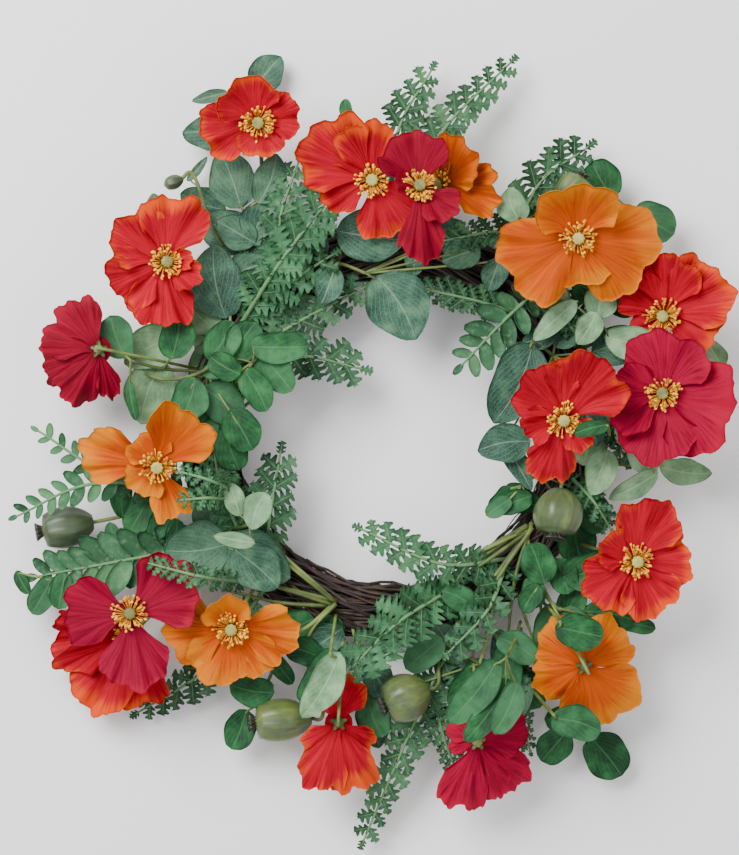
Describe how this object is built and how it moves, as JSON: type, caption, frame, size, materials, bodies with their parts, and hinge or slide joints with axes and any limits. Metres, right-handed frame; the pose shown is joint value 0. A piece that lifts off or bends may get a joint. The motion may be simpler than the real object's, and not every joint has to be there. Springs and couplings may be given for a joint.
{
  "type": "floral wreath",
  "caption": "Round artificial wreath of red, crimson and orange poppies with seed pods, leaf sprays and fern fronds on a twig ring, lying on its back.",
  "frame": {"origin": "centre of the wreath's whole outline, on the surface it lies on", "axes": "+Z away from the surface, towards a viewer of the flowers; +Y up the wreath as it would hang; +X to the viewer's right"},
  "size_m": [0.5386, 0.6042, 0.1267],
  "materials": {
    "twig": "rough dark brown vine bark",
    "petal_red": "crinkled silk, orange at the edges",
    "petal_crimson": "crinkled silk",
    "petal_magenta": "crinkled silk",
    "petal_orange": "crinkled silk, yellow at the edges",
    "leaf_mottled": "flocked, mottled grey green",
    "leaf_round": "matt printed green",
    "leaf_pale": "dusty pale green",
    "fern": "matt moulded green with a light bloom",
    "pod": "satin olive green"
  },
  "bodies": {
    "root": {"twig_ring": "twig", "poppy_right_large": "petal_crimson", "poppy_top_crimson": "petal_crimson", "poppy_right_inner": "petal_red", "poppy_upper_right_orange": "petal_orange", "poppy_lower_left_magenta": "petal_magenta", "poppy_top_red": "petal_red", "poppy_upper_left": "petal_red", "poppy_left_high": "petal_red", "poppy_left_orange": "petal_orange", "poppy_lower_right": "petal_red", "poppy_lower_left_orange": "petal_orange", "poppy_upper_right_red": "petal_red", "poppy_bottom_right_orange": "petal_orange", "poppy_bottom_drooping": "petal_red", "poppy_bottom_crimson": "petal_crimson", "poppy_left_crimson": "petal_crimson", "poppy_top_orange": "petal_orange", "poppy_lower_left_red": "petal_red", "pod_right_inner": "pod", "pod_bottom": "pod", "pod_bottom_left": "pod", "pod_left": "pod", "bud_upper_left": "pod", "pod_upper_right_lower": "pod", "pod_upper_right_top": "pod", "leaf_spray_inner_top": "leaf_mottled", "leaf_spray_inner_right": "leaf_mottled", "leaf_spray_inner_lower_right": "leaf_round", "leaf_spray_upper_left": "leaf_mottled", "leaf_spray_lower_left": "leaf_mottled", "leaf_spray_top_left": "leaf_mottled", "leaf_spray_behind_left": "leaf_pale", "eucalyptus_spray_left": "leaf_round", "eucalyptus_spray_left_inner": "leaf_round", "eucalyptus_spray_upper_right": "leaf_round", "pale_spray_upper_right": "leaf_pale", "leaf_spray_right": "leaf_pale", "eucalyptus_spray_lower_right": "leaf_round", "eucalyptus_spray_bottom_right": "leaf_round", "leaf_spray_bottom_left": "leaf_round", "leaf_spray_bottom": "leaf_round", "fern_top_left_long": "fern", "fern_top_left_middle": "fern", "fern_left_dark": "fern", "fern_upper_left": "fern", "fern_inner_top_right": "fern", "fern_oval_inner_right": "fern", "fern_top": "fern", "fern_upper_right": "fern", "fern_top_right_inner": "fern", "fern_left_high": "fern", "fern_left_long": "fern", "fern_left_low": "fern", "fern_left_inner": "fern", "fern_inner_left_ruffled": "fern", "fern_bottom_bright": "fern", "fern_inner_bottom": "fern", "fern_bottom_long": "fern", "fern_bottom_left": "fern"}
  },
  "joints": []
}
